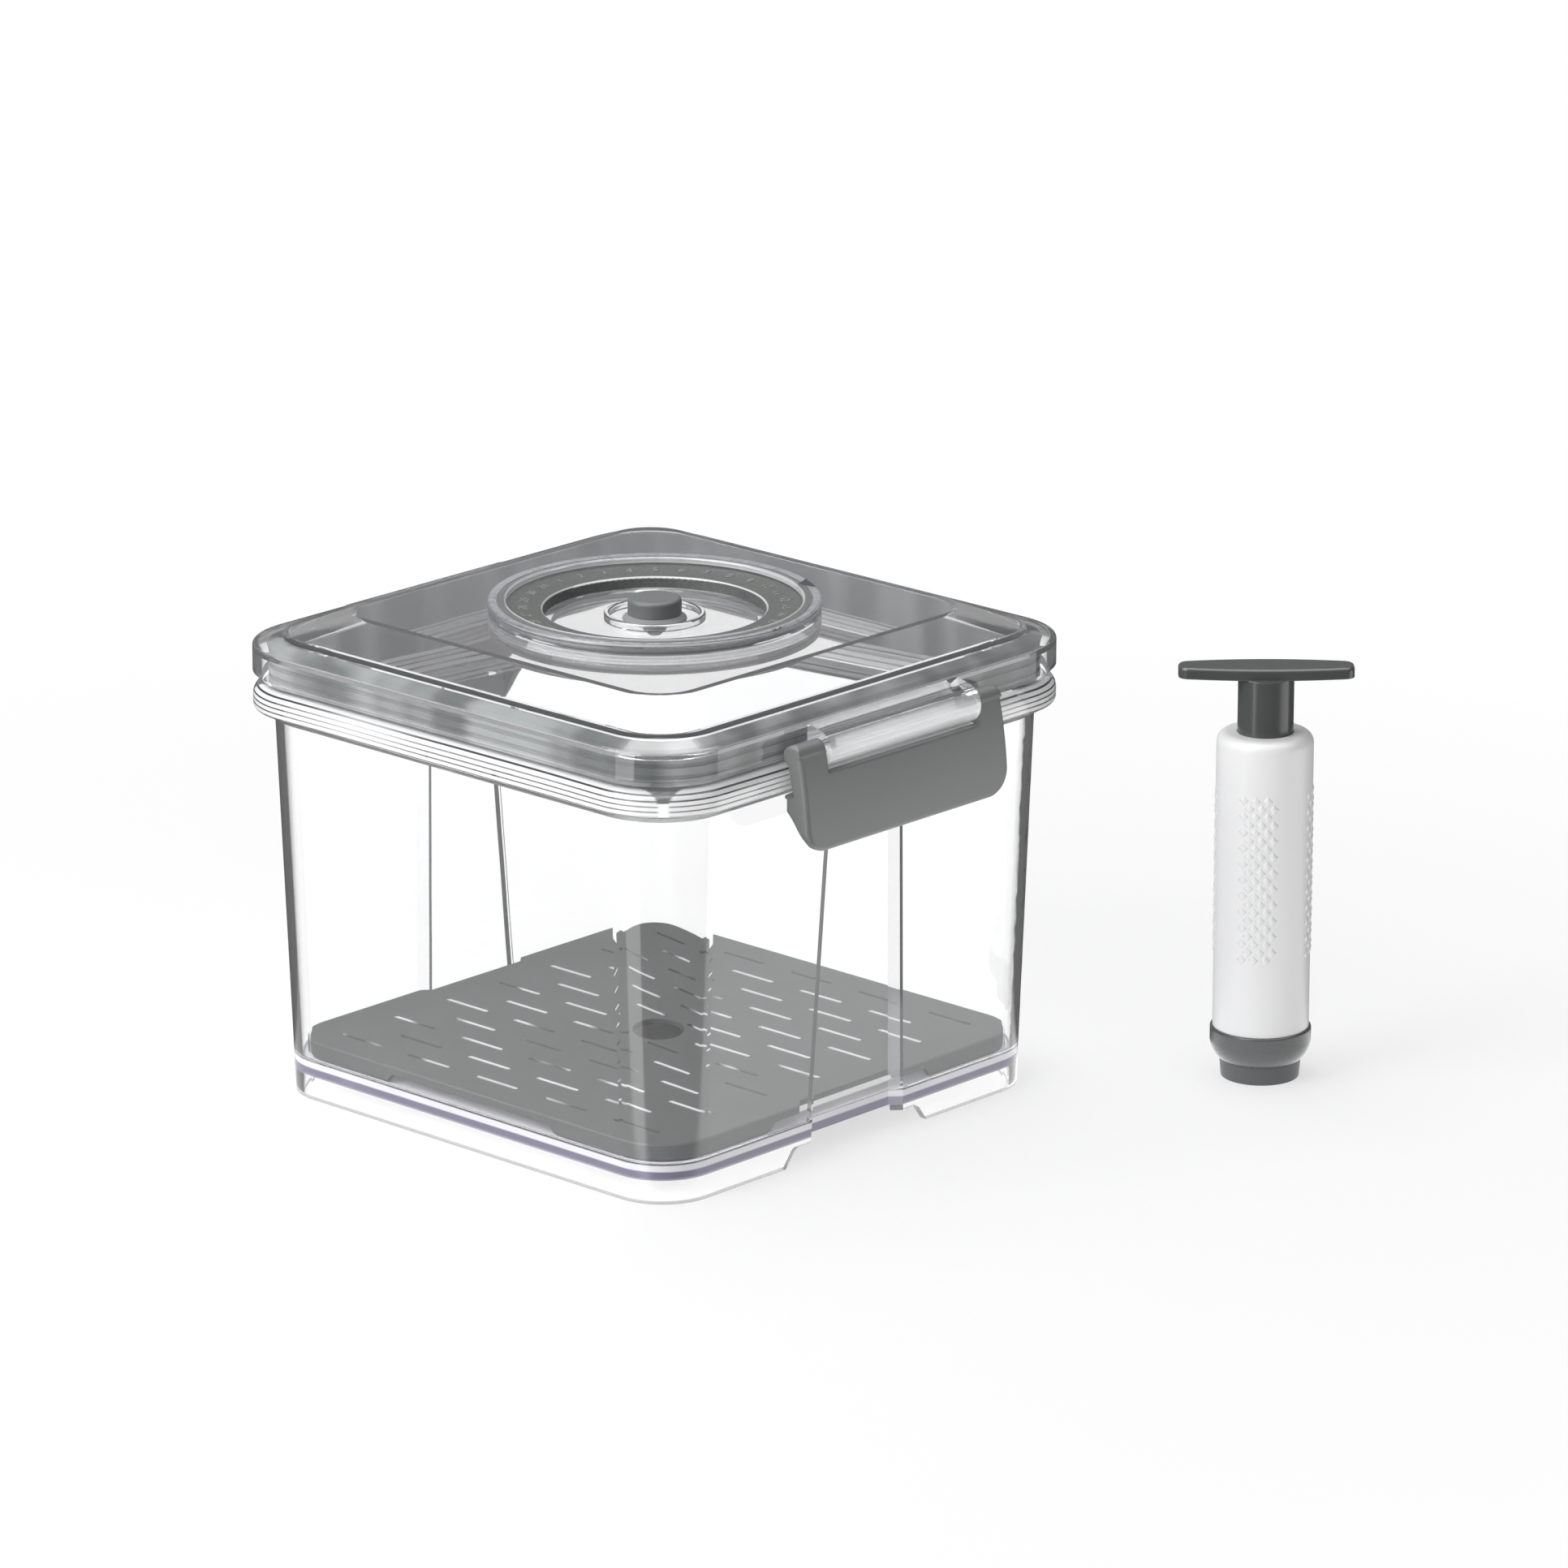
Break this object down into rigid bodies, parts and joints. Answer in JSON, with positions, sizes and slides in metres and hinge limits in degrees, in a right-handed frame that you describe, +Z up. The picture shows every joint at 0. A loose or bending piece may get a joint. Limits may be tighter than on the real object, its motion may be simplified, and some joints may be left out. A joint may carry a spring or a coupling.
{
  "type": "vacuum food canister with hand pump",
  "caption": "Square clear food canister with a clamped, gasketed lid, date ring, vent valve and lift-out drain tray, beside its piston hand pump.",
  "frame": {"origin": "middle of the canister's foot, on the surface that canister and pump stand on", "axes": "+Z up; the latches face -Y (front) and +Y (back); +X is to the right seen from the front"},
  "size_m": [0.3013, 0.3117, 0.1892],
  "materials": {
    "clear_tub": "clear, polished",
    "clear_lid": "clear, polished",
    "clear_bezel": "clear, polished",
    "grey_tray": "satin",
    "gasket_silicone": "soft, matt",
    "grey_ring": "satin",
    "grey_button": "satin",
    "valve_silicone": "soft, matt",
    "grey_latch": "smooth",
    "white_barrel": "smooth",
    "dark_cap": "satin",
    "dark_cup": "soft, matt",
    "dark_handle": "satin",
    "white_inner": "as moulded",
    "inner_silicone": "soft, matt",
    "screw_steel": "plain"
  },
  "bodies": {
    "container": {"container_body": "clear_tub"},
    "tray": {"drain_tray": "grey_tray"},
    "lid": {"lid_shell": "clear_lid", "lid_gasket": "gasket_silicone", "dial_bezel": "clear_bezel"},
    "front_latch": {"latch_front": "grey_latch"},
    "back_latch": {"latch_back": "grey_latch"},
    "dial": {"date_ring": "grey_ring"},
    "valve": {"valve_button": "grey_button", "valve_seal": "valve_silicone"},
    "pump": {"pump_barrel": "white_barrel", "pump_base_cap": "dark_cap", "suction_cup": "dark_cup", "valve_plate": "white_inner", "intake_flap": "inner_silicone"},
    "plunger": {"pump_handle": "dark_handle", "piston": "white_inner", "piston_seal": "inner_silicone", "exhaust_flap": "inner_silicone", "piston_screw": "screw_steel"}
  },
  "joints": [
    {"name": "tray_lift", "type": "slide", "parent": "container", "child": "tray", "axis": [0, 0, 1], "range_m": [0, 0.13]},
    {"name": "lid_lift", "type": "slide", "parent": "container", "child": "lid", "axis": [0, 0, 1], "range_m": [0, 0.04]},
    {"name": "front_latch_swing", "type": "hinge", "parent": "lid", "child": "front_latch", "pos_m": [0, -0.1185, 0.1642], "axis": [-1, 0, 0], "range_deg": [0, 110]},
    {"name": "back_latch_swing", "type": "hinge", "parent": "lid", "child": "back_latch", "pos_m": [0, 0.1185, 0.1642], "axis": [1, 0, 0], "range_deg": [0, 110]},
    {"name": "dial_turn", "type": "hinge", "parent": "lid", "child": "dial", "pos_m": [0, 0, 0.178], "axis": [0, 0, 1], "continuous": true},
    {"name": "valve_lift", "type": "slide", "parent": "lid", "child": "valve", "axis": [0, 0, 1], "range_m": [0, 0.002]},
    {"name": "pump_lift", "type": "slide", "parent": "container", "child": "pump", "axis": [0, 0, 1], "range_m": [0, 0.06]},
    {"name": "plunger_pull", "type": "slide", "parent": "pump", "child": "plunger", "axis": [0, 0, 1], "range_m": [0, 0.095]}
  ],
  "couplings": [
    {"joint": "front_latch_swing", "follows": "lid_lift", "rad_per_m": 47.9},
    {"joint": "back_latch_swing", "follows": "lid_lift", "rad_per_m": 47.9}
  ]
}
